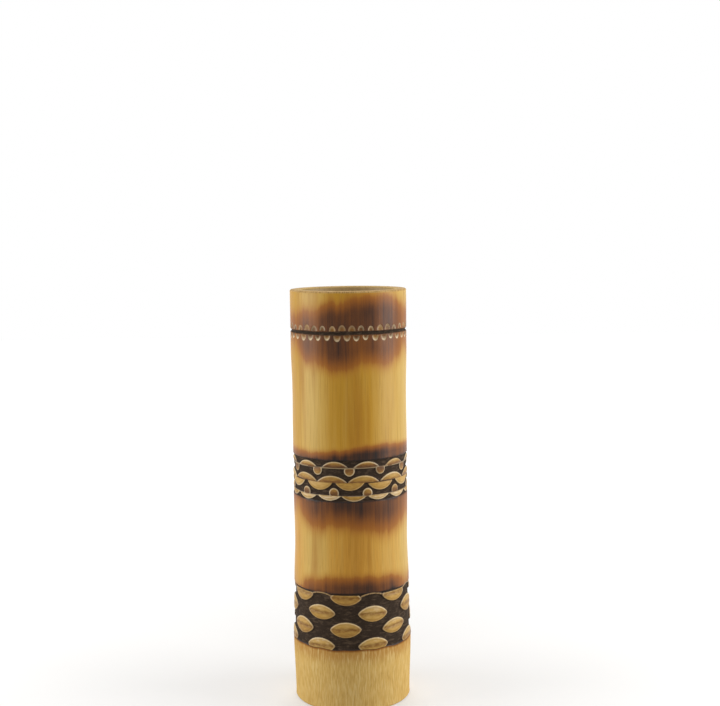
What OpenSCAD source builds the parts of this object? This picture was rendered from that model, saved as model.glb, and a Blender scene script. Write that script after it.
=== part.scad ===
// Carved bamboo flower vase.
//
// One length of culm is cut so that each of its three nodes falls in a carved band. The skin is cut
// away round the pattern, and the sunk ground is charred. Inside, the diaphragms are knocked out and
// leave a low ridge at each node, and a glued disc closes the foot. Bamboo doesn't hold water, so a
// liner, which is a length of pipe cemented to a floor, stands on the disc and lifts out at the rim.
//
// Millimetres. +Z is up, the origin is the centre of the foot on the surface it stands on, and -Y is
// the side that faces the viewer. Angles round the culm start at -Y and grow to the viewer's right.

/* [Culm] */
// Height from foot to rim
vase_h = 300; // [285:5:340]
// Outside diameter at the rim
rim_d = 84; // [80:0.5:90]
// Outside diameter at the waist of the upper internode
upper_waist_d = 82.8; // [80:0.2:86]
// Outside diameter at the middle node, through its band
mid_node_d = 83.2; // [80:0.2:88]
// Outside diameter at the waist of the lower internode
lower_waist_d = 82.4; // [80:0.2:86]
// Outside diameter at the top of the lower band
low_top_d = 84.4; // [82:0.2:88]
// Outside diameter at the bottom of the lower band, the widest place
low_node_d = 86.8; // [83:0.2:90]
// Outside diameter at the foot
foot_d = 84.4; // [82:0.2:90]
// Thickness of the wall at the rim
wall = 8; // [7:0.5:10]
// Rounding of the two edges of the rim
rim_round = 1.2; // [0.6:0.1:2]
// Rounding of the outer edge of the foot
foot_round = 2; // [1:0.2:3]

/* [Nodes] */
// Height of the lower node inside
low_node_z = 66; // [60:1:72]
// Height of the middle node, at the middle of its band
mid_node_z = 168; // [160:1:176]
// Drop from the rim to the upper node and its groove
ring_drop = 29; // [24:1:36]
// How far the cut stub of each diaphragm stands into the bore
ridge_in = 1.6; // [0.8:0.1:2.4]
// Height of the stub along the bore
ridge_h = 9; // [6:0.5:12]

/* [Upper ring] */
// Width of the V groove at the skin
groove_w = 2.6; // [1.6:0.2:4]
// Depth of the V groove
groove_depth = 1.3; // [0.8:0.1:1.8]
// Gouge chips on each side of the groove
chip_count = 38; // [30:1:42]
// Width of one chip
chip_w = 4.8; // [4:0.1:5.4]
// Depth of one chip
chip_depth = 0.7; // [0.4:0.1:1]

/* [Middle band] */
// Height of the band
mid_band_h = 31; // [30.5:0.5:34]
// Depth of its sunk ground
mid_ground = 1.1; // [0.6:0.1:1.6]
// Links in each row of the chain
link_count = 11; // [10:1:12]
// Height of the arcs that crown the band
crown_h = 3.8; // [3:0.2:4.4]
// Height of the upper arcs of the chain
link_up_h = 5; // [4:0.2:5.4]
// Height of the lower arcs of the chain
link_down_h = 5.2; // [4:0.2:5.6]
// Width of the tabs above and below the chain, at their roots
tab_w = 6; // [5:0.2:7]
// Height of those tabs
tab_h = 4.8; // [4:0.2:5.2]
// Arcs along the foot of the band
hem_count = 14; // [12:1:16]
// Height of those arcs
hem_h = 3.2; // [2.6:0.2:3.6]
// Width of the sunk line between one row and the next
row_line = 0.7; // [0.5:0.1:1]

/* [Lower band] */
// Height of the band's lower edge
low_band_z = 46; // [40:1:50]
// Depth of its sunk ground
low_ground = 1.3; // [0.8:0.1:1.8]
// Leaves in one row
leaf_count = 7; // [6:1:8]
// Length of a leaf along the wall
leaf_w = 24.5; // [20:0.5:26]
// Height of a leaf
leaf_h = 11.2; // [9:0.2:12]
// Rise from one row of leaves to the next
leaf_pitch = 11.7; // [11:0.1:12.4]
// Depth of the crease along each leaf
crease_depth = 0.4; // [0.2:0.1:0.7]
// How far the hand-cut leaves stray from their grid
stray = 0.5; // [0:0.1:1]

/* [Floor] */
// Thickness of the disc that closes the foot
disc_t = 8; // [5:0.5:12]
// Width of the shoulder that the disc is glued against
disc_seat = 2; // [1.5:0.1:3]
// Depth of the disc above the end of the foot
disc_recess = 2; // [1.6:0.1:4]
// Gap between the disc and the wall round it
disc_gap = 0.15; // [0.05:0.05:0.3]
// Leg of the glue bead under the disc
bead_leg = 1.4; // [0.8:0.1:1.6]

/* [Liner] */
// Drop from the rim of the vase to the rim of the liner
liner_drop = 12; // [8:1:40]
// Wall of the liner pipe
liner_wall = 2; // [1.4:0.1:3]
// Thickness of the liner's floor
liner_floor_t = 4; // [3:0.5:6]
// Gap between the liner and the diaphragm stubs
liner_gap = 0.9; // [0.5:0.1:1.5]
// Chamfer on the rim of the pipe and under its floor
liner_chamfer = 0.5; // [0.3:0.1:0.6]

/* [Hidden] */
$fn = 96;

ring_z = vase_h - ring_drop;
bore_r = rim_d / 2 - wall;
seat_r = bore_r + disc_seat;
disc_top_z = disc_recess + disc_t;
liner_r = bore_r - ridge_in - liner_gap;
liner_bore_r = liner_r - liner_wall;
pipe_z = disc_top_z + liner_floor_t;
pipe_h = vase_h - liner_drop - pipe_z;
mid_band_z = mid_node_z - mid_band_h / 2;
// Rows of leaves, from the lowest, whose lower half runs into the foot
leaf_rows = 4;
low_band_h = (leaf_rows - 1) * leaf_pitch + 4;
low_band_top = low_band_z + low_band_h;
mid_band_top = mid_band_z + mid_band_h;
// Turns of the leaves, of the chain's upper arcs and of the lowest arcs, as they stand on the real wall
leaf_lead = -5;
link_lead = -2;
hem_lead = 4;
// How far a cutter passes the skin that it cuts
over = 1;
// Run of a carved flank for each millimetre of its depth
flank = 0.4;

// The culm's skin, as height, radius and steps up to the next place. One step is straight, which the
// carved bands are, and several follow half a wave.
stations = [
    [0, foot_d / 2, 4],
    [low_band_z, low_node_d / 2, 1],
    [low_band_top, low_top_d / 2, 4],
    [(low_band_top + mid_band_z) / 2, lower_waist_d / 2, 3],
    [mid_band_z, mid_node_d / 2, 1],
    [mid_band_top, mid_node_d / 2, 3],
    [(mid_band_top + ring_z) / 2, upper_waist_d / 2, 4],
    [ring_z - groove_w / 2 - 2 * chip_w, rim_d / 2, 1],
    [vase_h, rim_d / 2, 0],
];

function ease(t) = (1 - cos(180 * t)) / 2;
function between(a, b, z) =
    let (t = (z - a[0]) / (b[0] - a[0])) a[1] + (b[1] - a[1]) * (a[2] == 1 ? t : ease(t));
function skin_r(z, i = 0) =
    i == len(stations) - 2 || z <= stations[i + 1][0]
        ? between(stations[i], stations[i + 1], z)
        : skin_r(z, i + 1);
function arc(x, z, r, from, to, n = 5) =
    [for (i = [0:n]) let (t = from + (to - from) * i / n) [x + r * cos(t), z + r * sin(t)]];

// Radius of the arc over a chord of width w that rises by h.
function arc_r(w, h) = (w * w / 4 + h * h) / (2 * h);
// Width along the wall of a share of one turn, at radius r.
function share_w(r, count, share = 1) = 2 * r * sin(180 * share / count);
// A number from -1 to 1 that differs from leaf to leaf, for the unevenness of hand work.
function wander(i, j) = sin(97 * i + 211 * j + 40);

// Turns a child so that its +Z points out of the wall at angle a and its +X points down.
module on_wall(a, z) {
    rotate([0, 0, a - 90]) translate([0, 0, z]) rotate([0, 90, 0]) children();
}

// A round boss of radius r at the skin, with sloped flanks. It is sunk until the wall, which curves
// away from it, covers its foot at half of w to each side.
module round_boss(skin, r, w, depth) {
    sink = depth + w * w / (8 * skin) + 0.3;
    translate([0, 0, skin - sink]) cylinder(h = sink + over, r1 = r + flank * sink, r2 = r - flank * over);
}

// A leaf, which is the shape shared by two round bosses.
module leaf(skin, w, h, depth) {
    r = arc_r(w, h / 2);
    intersection() {
        translate([r - h / 2, 0, 0]) round_boss(skin, r, w, depth);
        translate([h / 2 - r, 0, 0]) round_boss(skin, r, w, depth);
    }
}

// An arc of width w that rises h over its chord. It points up, or down if up is -1. Where h is over
// half of w it is a round-ended tab that narrows a little at its root.
module crescent(skin, w, h, depth, up = 1) {
    r = arc_r(w, h);
    intersection() {
        translate([up * (r - h), 0, 0]) round_boss(skin, r, w, depth);
        translate([up > 0 ? -2 * h : 0, -w, 0]) cube([2 * h, 2 * w, 2 * skin]);
    }
}

// The ring of wall that is sunk from z0 to z1, with a bank at each edge.
module sunk_ring(z0, z1, depth) {
    r0 = skin_r(z0);
    r1 = skin_r(z1);
    bank = flank * depth;
    rotate_extrude()
        polygon([
            [r0 - depth, z0 + bank], [r1 - depth, z1 - bank],
            [r1 + over, z1 + flank * over], [r0 + over, z0 - flank * over],
        ]);
}

module upper_ring_cuts() {
    rotate_extrude()
        polygon([
            [rim_d / 2 - groove_depth, ring_z],
            [rim_d / 2 + over, ring_z + groove_w / 2 * (1 + over / groove_depth)],
            [rim_d / 2 + over, ring_z - groove_w / 2 * (1 + over / groove_depth)],
        ]);
    for (side = [-1, 1], i = [0:chip_count - 1])
        on_wall((i + 0.25 * side) * 360 / chip_count, ring_z + side * (groove_w + 1.2 * chip_w) / 2)
            translate([0, 0, rim_d / 2 - chip_depth])
                cylinder(h = 1.3 * chip_depth, r1 = chip_w / 4, r2 = chip_w / 4 * 2.3, $fn = 24);
}

module middle_band_cuts() {
    skin = mid_node_d / 2;
    depth = mid_ground;
    half = 180 / link_count;
    crown_z = mid_band_top - 2.3 - crown_h;
    chain_z = mid_node_z - 1.2;
    hem_z = mid_band_z + 1.4 + hem_h;
    difference() {
        sunk_ring(mid_band_z, mid_band_top, depth);
        for (i = [0:link_count - 1]) {
            a = i * 360 / link_count;
            on_wall(a + half, crown_z) crescent(skin, share_w(skin, link_count, 0.8), crown_h, depth);
            on_wall(a, crown_z - row_line) crescent(skin, tab_w, tab_h, depth, -1);
            on_wall(a + half + link_lead, chain_z)
                crescent(skin, share_w(skin, link_count, 0.84), link_up_h, depth);
            on_wall(a, chain_z - row_line)
                crescent(skin, share_w(skin, link_count, 0.86), link_down_h, depth, -1);
            on_wall(a + half, hem_z + row_line) crescent(skin, tab_w, tab_h, depth);
        }
        for (i = [0:hem_count - 1])
            on_wall(hem_lead + i * 360 / hem_count, hem_z)
                crescent(skin, share_w(skin, hem_count, 0.84), hem_h, depth, -1);
    }
}

function leaf_z(j) = low_band_z + 2.2 + j * leaf_pitch;

// Puts a child at the middle of leaf i in row j, with +Z out of the wall and +Y along the leaf.
module place_leaf(i, j) {
    a = leaf_lead + (i + (j % 2 == 0 ? 0.5 : 0)) * 360 / leaf_count;
    on_wall(a + 2 * stray * wander(i, j), leaf_z(j) + stray * wander(j, i))
        rotate([0, 0, 6 * stray * wander(i + j, i)]) children();
}

module lower_band_cuts() {
    difference() {
        sunk_ring(low_band_z, low_band_top, low_ground);
        for (j = [0:leaf_rows - 1], i = [0:leaf_count - 1]) place_leaf(i, j)
            leaf(skin_r(leaf_z(j)), leaf_w, leaf_h * (1 + 0.06 * wander(i + 3, j)), low_ground);
    }
    // The ground reaches up in a shallow arc between the leaves of the top row.
    intersection() {
        sunk_ring(low_band_top - 3, low_band_top + 4, low_ground - 0.2);
        for (i = [0:leaf_count - 1])
            on_wall(leaf_lead + (i + 0.5) * 360 / leaf_count, low_band_top - 1)
                crescent(skin_r(low_band_top), 0.45 * leaf_w, 2.8, low_ground);
    }
    // The crease along each leaf, a V that follows the wall and stops in the ground.
    for (j = [0:leaf_rows - 1], i = [0:leaf_count - 1]) place_leaf(i, j)
        crease(skin_r(leaf_z(j)), 0.8 * leaf_w);
}

// A V of the crease's depth, cut along w of the wall.
module crease(skin, w) {
    turn = w / skin * 180 / PI;
    rotate([0, -90, 0]) rotate([0, 0, -turn / 2]) rotate_extrude(angle = turn)
        polygon([
            [skin - crease_depth, 0],
            [skin + over, crease_depth + over],
            [skin + over, -crease_depth - over],
        ]);
}

// Stub of a knocked-out diaphragm, as points down the bore.
function stub(z) =
    [for (k = [4:-1:-4]) [bore_r - ridge_in * (1 + cos(45 * k)) / 2, z + k * ridge_h / 8]];

module culm_blank() {
    outside = [
        for (i = [0:len(stations) - 2])
            let (a = stations[i], b = stations[i + 1])
                for (k = [(i == 0 ? 1 : 0):a[2] - 1])
                    let (z = a[0] + (b[0] - a[0]) * k / a[2]) [skin_r(z), z],
    ];
    rotate_extrude()
        polygon(concat(
            arc(foot_d / 2 - foot_round, foot_round, foot_round, -90, 0),
            outside,
            arc(rim_d / 2 - rim_round, vase_h - rim_round, rim_round, 0, 90),
            arc(bore_r + rim_round, vase_h - rim_round, rim_round, 90, 180),
            stub(ring_z),
            stub(mid_node_z),
            stub(low_node_z),
            [[bore_r, disc_top_z], [seat_r, disc_top_z], [seat_r, 0]]
        ));
}

// The culm: one natural tube with its three carved bands.
module culm() {
    color("#c79c4e") difference() {
        culm_blank();
        upper_ring_cuts();
        middle_band_cuts();
        lower_band_cuts();
    }
}

// The disc that closes the foot, glued up against the shoulder.
module base_disc() {
    r = seat_r - disc_gap;
    edge = 0.6;
    color("#c9ad78") translate([0, 0, disc_recess])
        rotate_extrude()
            polygon([[0, 0], [r - edge, 0], [r, edge], [r, disc_t], [0, disc_t]]);
}

// The bead of glue in the corner under the disc, hollow on its open side.
module glue_bead() {
    color("#e6d9ae") rotate_extrude()
        polygon(concat(
            [[seat_r, disc_recess]],
            arc(seat_r - bead_leg, disc_recess - bead_leg, bead_leg, 90, 0)
        ));
}

// The pipe of the water liner, cut square below, where the floor closes it.
module liner_tube() {
    c = liner_chamfer;
    color("#2c312f") translate([0, 0, pipe_z])
        rotate_extrude()
            polygon([
                [liner_bore_r, 0], [liner_r, 0], [liner_r, pipe_h - c], [liner_r - c, pipe_h],
                [liner_bore_r + c, pipe_h], [liner_bore_r, pipe_h - c],
            ]);
}

// The liner's floor, as wide as the pipe and cemented to its lower end.
module liner_floor() {
    c = liner_chamfer;
    color("#353b38") translate([0, 0, disc_top_z])
        rotate_extrude()
            polygon([[0, 0], [liner_r - c, 0], [liner_r, c], [liner_r, liner_floor_t], [0, liner_floor_t]]);
}

culm();
base_disc();
glue_bead();
liner_tube();
liner_floor();
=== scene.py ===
"""The carved bamboo vase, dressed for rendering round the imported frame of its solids.

The culm is one closed surface over two parameters, the turn round its axis and the way along its
section, and its carving is a relief worked out from the distance to each motif's outline. The same
distances are stored on the mesh, and the finishes read them, so that char, cut wood and varnish
meet exactly where the knife went. The disc in the foot, its glue and the liner keep their CAD
meshes and get finishes of their own.

Lengths are millimetres and turns are degrees until a mesh is made. A turn of 0 faces the viewer,
along -Y, and turns grow to the viewer's right. A name that ends in _r is a radius, in _w a width,
in _h a motif's own height and in _z a height above the foot. Each band unrolls the wall at its
radius.
"""

from __future__ import annotations

import logging
import math
from dataclasses import dataclass
from enum import IntEnum
from itertools import pairwise

import bpy
import numpy as np
from mathutils import Matrix, Vector


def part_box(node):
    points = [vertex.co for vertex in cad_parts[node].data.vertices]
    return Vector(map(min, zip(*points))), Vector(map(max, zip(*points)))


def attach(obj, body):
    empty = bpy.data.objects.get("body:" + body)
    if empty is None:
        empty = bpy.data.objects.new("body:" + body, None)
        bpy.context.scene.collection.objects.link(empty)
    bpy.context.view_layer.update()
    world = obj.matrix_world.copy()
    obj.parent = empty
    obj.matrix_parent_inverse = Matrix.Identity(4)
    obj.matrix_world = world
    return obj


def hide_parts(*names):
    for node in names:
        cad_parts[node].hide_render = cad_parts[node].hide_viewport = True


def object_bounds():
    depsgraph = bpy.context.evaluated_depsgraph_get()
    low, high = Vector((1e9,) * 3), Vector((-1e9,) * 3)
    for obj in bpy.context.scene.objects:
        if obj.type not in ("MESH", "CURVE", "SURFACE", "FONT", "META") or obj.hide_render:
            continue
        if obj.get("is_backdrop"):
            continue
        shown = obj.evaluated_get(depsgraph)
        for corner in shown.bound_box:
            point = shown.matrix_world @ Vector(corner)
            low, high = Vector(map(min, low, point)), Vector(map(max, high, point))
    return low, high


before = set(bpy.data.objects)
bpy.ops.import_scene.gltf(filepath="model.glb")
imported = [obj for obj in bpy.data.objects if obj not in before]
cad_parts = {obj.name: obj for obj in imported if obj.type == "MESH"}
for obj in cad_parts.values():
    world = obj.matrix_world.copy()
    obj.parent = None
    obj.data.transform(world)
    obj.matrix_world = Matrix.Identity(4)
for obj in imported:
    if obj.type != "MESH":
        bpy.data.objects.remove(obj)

LOG = logging.getLogger("bamboo_vase")
MM = 0.001
WHITE = (1.0, 1.0, 1.0, 1.0)

Tree = bpy.types.NodeTree
Socket = bpy.types.NodeSocket


# Small helpers


def linear(code: str) -> tuple[float, ...]:
    """Turns an sRGB hex colour into the linear values that a shader takes.

    Args:
        code: The colour, such as "#c9a04e".

    Returns:
        Red, green, blue and alpha, where c becomes ((c + 0.055) / 1.055) ^ 2.4 above the toe.
    """
    channels = (int(code[i:i + 2], 16) / 255 for i in (1, 3, 5))
    return (*(c / 12.92 if c <= 0.04045 else ((c + 0.055) / 1.055) ** 2.4 for c in channels), 1.0)


def put(name: str, data: bpy.types.ID) -> bpy.types.Object:
    """Makes an object and links it to the scene.

    Args:
        name: The object's name.
        data: Its mesh, lamp or camera.

    Returns:
        The object.
    """
    made = bpy.data.objects.new(name, data)
    bpy.context.scene.collection.objects.link(made)
    return made


def add(tree: Tree, kind: str, inputs: dict | None = None, out: int | str = 0,
        **settings) -> Socket | None:
    """Adds a node to a tree, with its settings and its links.

    Args:
        tree: The node tree.
        kind: The node's type name, without its start, ShaderNode.
        inputs: Socket name or index to a value, or to the output socket that feeds it.
        out: Name or index of the output that the caller wants.
        **settings: Properties of the node itself.

    Returns:
        That output, or None from the node that ends the tree.
    """
    made = tree.nodes.new(f"ShaderNode{kind}")
    for name, value in settings.items():
        setattr(made, name, value)
    for key, value in (inputs or {}).items():
        if isinstance(value, Socket):
            tree.links.new(value, made.inputs[key])
        else:
            made.inputs[key].default_value = value
    return made.outputs[out] if made.outputs else None


def set_stops(ramp: Socket, stops: tuple[tuple[float, str], ...]) -> Socket:
    """Gives a colour ramp its stops.

    Args:
        ramp: The ramp's colour output.
        stops: Place and sRGB hex colour of each stop, in order.

    Returns:
        The same output.
    """
    elements = ramp.node.color_ramp.elements
    while len(elements) < len(stops):
        elements.new(0.5)
    for element, (place, code) in zip(elements, stops):
        element.position = place
        element.color = linear(code)
    return ramp


def ease(t: np.ndarray) -> np.ndarray:
    """Half a cosine wave, (1 - cos(pi t)) / 2, from 0 to 1 as t does, and level outside."""
    return (1 - np.cos(np.pi * np.clip(t, 0, 1))) / 2


def wander(i: np.ndarray | float, j: np.ndarray | float) -> np.ndarray | float:
    """A number from -1 to 1 that differs from motif to motif, sin(97 i + 211 j + 40 degrees)."""
    return np.sin(np.radians(97 * i + 211 * j + 40))


def arc_r(width: float, rise: float) -> float:
    """Radius of the arc over a chord, (w^2 / 4 + h^2) / 2h."""
    return (width * width / 4 + rise * rise) / (2 * rise)


def ripple(turn: np.ndarray, turns: tuple[int, ...], z: np.ndarray | float = 0.0,
           pitch: float = 140.0) -> np.ndarray:
    """A smooth unevenness of the hand, the mean of sines that close round the girth.

    Args:
        turn: Turns in degrees.
        turns: Whole waves round the girth, one for each sine.
        z: Heights, or 0 for a line that goes round.
        pitch: Height of one wave up the wall.

    Returns:
        Values from -1 to 1, the mean over k of
        sin(n turn + (-1)^k (1 + 0.37 k) 2 pi z / pitch + k^2), with n the k-th of the turns.
    """
    waves = [
        np.sin(n * np.radians(turn) + (-1) ** k * (1 + 0.37 * k) * 2 * np.pi * z / pitch + k * k)
        for k, n in enumerate(turns)
    ]
    return sum(waves) / len(waves)


# The carving, as distances on the unrolled wall


@dataclass
class Cut:
    """What the carving does at each point of the wall.

    Attributes:
        sink: Depth below the skin.
        ground: Distance into the charred ground from the nearest outline, negative outside it.
        boss: Distance into a motif from its outline, negative outside every motif.
        rim: Distance from the motif's curved edge alone, along which it is drawn pale, partly as
            fresh
        cut wood and partly as a painted highlight.
        crease: Distance from the crease of a leaf, or the pad value where there is none.
        groove: Distance into the groove from its edge, negative outside.
        tone: How light the motif's wood is drawn, from 0, browned, to 1, buff, with the painted
            light
        and shade of the leaves and crescents.
        pale: How pale the motif's edge is drawn, from 0 to 1, past which it gets no paler, part of
        it painted highlight.
    """

    sink: np.ndarray
    ground: np.ndarray
    boss: np.ndarray
    rim: np.ndarray
    crease: np.ndarray
    groove: np.ndarray
    tone: np.ndarray
    pale: np.ndarray

    @classmethod
    def blank(cls, shape: tuple[int, ...], pad: float = 9.0) -> Cut:
        """An uncut wall, with every distance at the pad value."""
        far, level = np.full(shape, -pad), np.full(shape, 0.5)
        return cls(np.zeros(shape), far, far, -far, -far, far, level, level)

    def cover(self, out: np.ndarray, rim: np.ndarray | float, tone: np.ndarray | float,
              pale: np.ndarray | float) -> None:
        """Adds a motif wherever it is nearer than those before it.

        Args:
            out: Distance outside its outline.
            rim: Distance in from its curved edge.
            tone: Its wood's tone, with any painted light and shade.
            pale: Its edge's paleness.
        """
        near = -out > self.boss
        self.ground = np.minimum(self.ground, out)
        self.boss = np.where(near, -out, self.boss)
        self.rim = np.where(near, rim, self.rim)
        self.tone = np.where(near, np.clip(tone, 0, 1), self.tone)
        self.pale = np.where(near, pale, self.pale)

    def over(self, other: Cut) -> Cut:
        """Joins two cuts that don't meet.

        Args:
            other: The other cut of the same points.

        Returns:
            The deeper and nearer value of each.
        """
        near = other.boss > self.boss
        return Cut(np.maximum(self.sink, other.sink), np.maximum(self.ground, other.ground),
                   np.maximum(self.boss, other.boss), np.where(near, other.rim, self.rim),
                   np.minimum(self.crease, other.crease), np.maximum(self.groove, other.groove),
                   np.where(near, other.tone, self.tone), np.where(near, other.pale, self.pale))


# What the culm's mesh stores for the finishes, from the cut and from the culm.
CUT_FIELDS = ("ground", "boss", "rim", "crease", "groove", "tone", "pale")
FIELDS = (*CUT_FIELDS, "scorch", "painted_side_light", "scraped")


@dataclass(frozen=True)
class Row:
    """A ring of equal motifs.

    Attributes:
        z: Height of the motifs' own origins.
        count: Motifs in the ring.
        lead: Turn of the first one, in degrees.
        stray: How far each strays from its place.
        seed: Tells one row's straying from another's.
        sideways: How much further it strays along the wall than up it.
        askew: Degrees that it tilts for each millimetre of straying.
    """

    z: float
    count: int
    lead: float
    stray: float = 0.0
    seed: int = 0
    sideways: float = 1.4
    askew: float = 5.0

    def local(self, turn: np.ndarray, z: np.ndarray, radius: float) -> tuple[np.ndarray, ...]:
        """Places each point on the nearest motif.

        Args:
            turn: Turns in degrees.
            z: Heights.
            radius: Radius at which turns are unrolled.

        Returns:
            Distance along the wall and up from the motif's origin, after its tilt, and its number.
        """
        pitch = 360 / self.count
        number = np.round((turn - self.lead) / pitch)
        u = np.radians(turn - self.lead - number * pitch) * radius
        number = np.mod(number, self.count)
        u = u - self.sideways * self.stray * wander(number, self.seed)
        v = z - self.z - self.stray * wander(self.seed, number)
        tilt = np.radians(self.askew * self.stray * wander(number + self.seed, number))
        return u * np.cos(tilt) + v * np.sin(tilt), v * np.cos(tilt) - u * np.sin(tilt), number


@dataclass(frozen=True)
class Leaf:
    """A leaf shape, which two equal arcs share, with a crease along it and worn, blunt tips."""

    width: float
    height: float
    blunt: float = 0.9

    def outline(self, u: np.ndarray, v: np.ndarray) -> np.ndarray:
        """Distance outside the leaf, hypot(u, hypot(v, blunt) + r - h / 2) - r, with arcs of r."""
        r = arc_r(self.width, self.height / 2)
        return np.hypot(u, np.hypot(v, self.blunt) + r - self.height / 2) - r


@dataclass(frozen=True)
class Crescent:
    """An arc over its chord, with the look of its wood.

    Attributes:
        width: Length of the chord.
        height: Rise of the arc over it.
        up: 1 if it points up, or -1 if down.
        tone: Tone of its wood, from 0, browned, to 1, buff.
        slope: How much lighter its top, at the tip, is drawn than its root at the chord, a painted
            light and shade.
        pale: Paleness of its curved edge.
        vary: How far the tone differs from one to the next.
    """

    width: float
    height: float
    up: int = 1
    tone: float = 0.5
    slope: float = 0.0
    pale: float = 0.5
    vary: float = 0.1

    def edge(self, u: np.ndarray, v: np.ndarray) -> np.ndarray:
        """Distance outside the arc's circle, hypot(u, v + r - h) - r."""
        r = arc_r(self.width, self.height)
        return np.hypot(u, self.up * v + r - self.height) - r

    def outline(self, u: np.ndarray, v: np.ndarray) -> np.ndarray:
        """Distance outside the motif, the larger of those from its circle and from its chord."""
        return np.maximum(self.edge(u, v), -self.up * v)


@dataclass(frozen=True)
class Relief:
    """How a raised motif meets the ground.

    Attributes:
        depth: Depth of the ground below the skin.
        flank: Width of the slope down to it.
        worn: How far the motif's edge is rounded below the skin.
        worn_w: Width of that rounding.
    """

    depth: float
    flank: float = 0.5
    worn: float = 0.3
    worn_w: float = 2.2

    def sink(self, ground: np.ndarray, boss: np.ndarray) -> np.ndarray:
        """Works out how deep the wall is cut.

        Args:
            ground: Distance into the ground.
            boss: Distance into a motif.

        Returns:
            Depth below the skin, a slope of the flank's width plus worn (1 - boss / worn_w)^2.
        """
        edge = 1 - np.clip(boss / self.worn_w, 0, 1)
        rounding = np.where(boss > -self.flank, self.worn * edge * edge, 0)
        slope = np.clip(ground / self.flank, 0, 1)
        return rounding * (1 - slope) + self.depth * slope


@dataclass(frozen=True)
class LeafBand:
    """The lower band, four staggered rows of leaves on a charred ground.

    Attributes:
        z: Height of its lower edge.
        first: Height of the lowest row over the lower edge.
        last: Height of the upper edge over the lower one, apart from the steps between the rows.
        waver: How far the lower and the upper edge waver.
        margin: How near a leaf may come to the lower and the upper edge, below 0 past it.
        lead: Turn of the first leaf in the second and fourth row.
        swell: Share by which the leaves' heights differ.
        tone: Tone of their wood, which differs by vary, and by slope for a millimetre up, a painted
            light and shade that lightens each leaf's upper half and darkens its lower half.
        pale: Paleness of a leaf's edge, and how much paler its upper edge is drawn than its lower
            one, a painted highlight.
        crease_w: Half the width of the crease along a leaf.
        ridge_drop: How far below the upper edge the arched ridges start.
        ridge_share: Half the length of a ridge, as a share of a leaf's.
    """

    z: float = 46.0
    count: int = 7
    rows: int = 4
    pitch: float = 11.7
    first: float = 2.2
    last: float = 5.2
    waver: tuple[float, float] = (0.55, 0.25)
    margin: tuple[float, float] = (-0.1, 1.3)
    lead: float = -5.0
    stray: float = 0.5
    swell: float = 0.06
    tone: float = 0.65
    vary: float = 0.08
    slope: float = 0.03
    pale: tuple[float, float] = (0.3, 0.2)
    leaf: Leaf = Leaf(24.5, 11.2)
    relief: Relief = Relief(1.3)
    crease_depth: float = 0.4
    crease_w: float = 0.8
    ridge_drop: float = 2.2
    ridge_rise: float = 1.9
    ridge_w: float = 0.9
    ridge_share: float = 0.36
    ridge_tone: float = 0.35
    ridge_pale: float = 0.2
    radius: float = 42.9

    @property
    def top(self) -> float:
        """Height of the band's upper edge."""
        return self.z + (self.rows - 1) * self.pitch + self.last

    def foot_edge(self, turn: np.ndarray) -> np.ndarray:
        """Height of the band's lower edge, z + waver * ripple."""
        return self.z + self.waver[0] * ripple(turn, (5, 11, 17))

    def cut(self, turn: np.ndarray, z: np.ndarray) -> Cut:
        """Works out the band's carving.

        Args:
            turn: Turns in degrees.
            z: Heights.

        Returns:
            The cut at each point. The ground is inside the band and outside every leaf, so its
            distance is the least of the distances to the edges and to the leaves.
        """
        cut = Cut.blank(turn.shape)
        low = self.foot_edge(turn)
        high = self.top + self.waver[1] * ripple(turn, (4, 9, 14))
        cut.ground = np.minimum(z - low, high - z)
        for j in range(self.rows):
            lead = self.lead + (180 / self.count if j % 2 == 0 else 0)
            row = Row(self.z + self.first + j * self.pitch, self.count, lead, self.stray, j)
            u, v, number = row.local(turn, z, self.radius)
            edge = self.leaf.outline(u, v / (1 + self.swell * wander(number + 3, j)))
            out = np.maximum(low + self.margin[0] - z, z - self.top + self.margin[1])
            out = np.maximum(edge, out)
            cut.crease = np.where(-out > cut.boss, np.abs(v), cut.crease)
            # Painted light and shade: slope draws each leaf lighter up its upper half and darker
            # down its lower half, and pale[1] draws its upper edge paler than its lower one.
            tone = self.tone + self.vary * wander(2 * number, j + 5) + self.slope * v
            cut.cover(out, -edge, tone, self.pale[0] + self.pale[1] * np.clip(v / 3, -1, 1))
        self._ridges(turn, z, cut)
        cut.sink = self.relief.sink(cut.ground, cut.boss)
        crease = np.clip(1 - cut.crease / self.crease_w, 0, 1)
        cut.sink += np.where(cut.boss > 0.3, self.crease_depth * crease, 0)
        return cut

    def _ridges(self, turn: np.ndarray, z: np.ndarray, cut: Cut) -> None:
        """Adds the thin arched ridges that bridge the leaves of the top row, as parabolas.

        Args:
            turn: Turns in degrees.
            z: Heights.
            cut: The cut to add them to.
        """
        row = Row(self.top - self.ridge_drop, self.count, self.lead + 180 / self.count, 0.3, 9)
        u, v, _ = row.local(turn, z, self.radius)
        half = self.ridge_share * self.leaf.width
        out = np.abs(v - self.ridge_rise * (1 - (u / half) ** 2)) - self.ridge_w / 2
        out = np.maximum(out, np.abs(u) - half)
        cut.cover(out, -out, self.ridge_tone, self.ridge_pale)


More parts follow.
